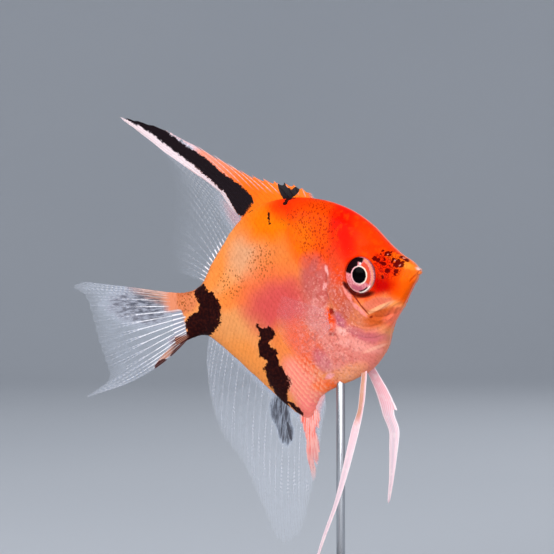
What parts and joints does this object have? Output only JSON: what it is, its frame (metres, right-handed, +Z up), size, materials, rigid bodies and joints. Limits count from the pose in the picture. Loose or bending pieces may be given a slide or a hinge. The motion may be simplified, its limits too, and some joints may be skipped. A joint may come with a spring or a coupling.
{
  "type": "freshwater angelfish model",
  "caption": "Still life-size freshwater angelfish with tall dorsal and anal fins, ribbon pelvic fins and a red, orange, pink and black pattern, on a round stand with a thin rod.",
  "frame": {"origin": "centre of the stand's underside", "axes": "+Z up, +X the way the fish heads, +Y to its left; the fish is pitched about ten degrees nose up"},
  "size_m": [0.0792, 0.058, 0.0948],
  "materials": {
    "skin": "moist scaled skin, red-orange over the head and back, orange and peach on the flank, pink on the breast, black blotches",
    "fin": "clear fin membrane with pale bony rays, black and orange along the front of the dorsal fin",
    "pelvic_fin": "pale pink, satin, finely lined along its length",
    "eye": "wet gloss with a black pupil and a pale ring",
    "stand_base": "black, satin, edges rounded",
    "stand_steel": "fine drawn stainless steel"
  },
  "bodies": {
    "root": {"trunk": "skin", "tail_stalk": "skin", "head": "skin", "lower_jaw": "skin", "gill_cover_left": "skin", "gill_cover_right": "skin", "dorsal_fin": "fin", "anal_fin": "fin", "caudal_fin": "fin", "pectoral_fin_left": "fin", "pectoral_fin_right": "fin", "pelvic_fin_left": "pelvic_fin", "pelvic_fin_right": "pelvic_fin", "eye_left": "eye", "eye_right": "eye", "stand_base": "stand_base", "stand_collar": "stand_steel", "stand_rod": "stand_steel"}
  },
  "joints": []
}
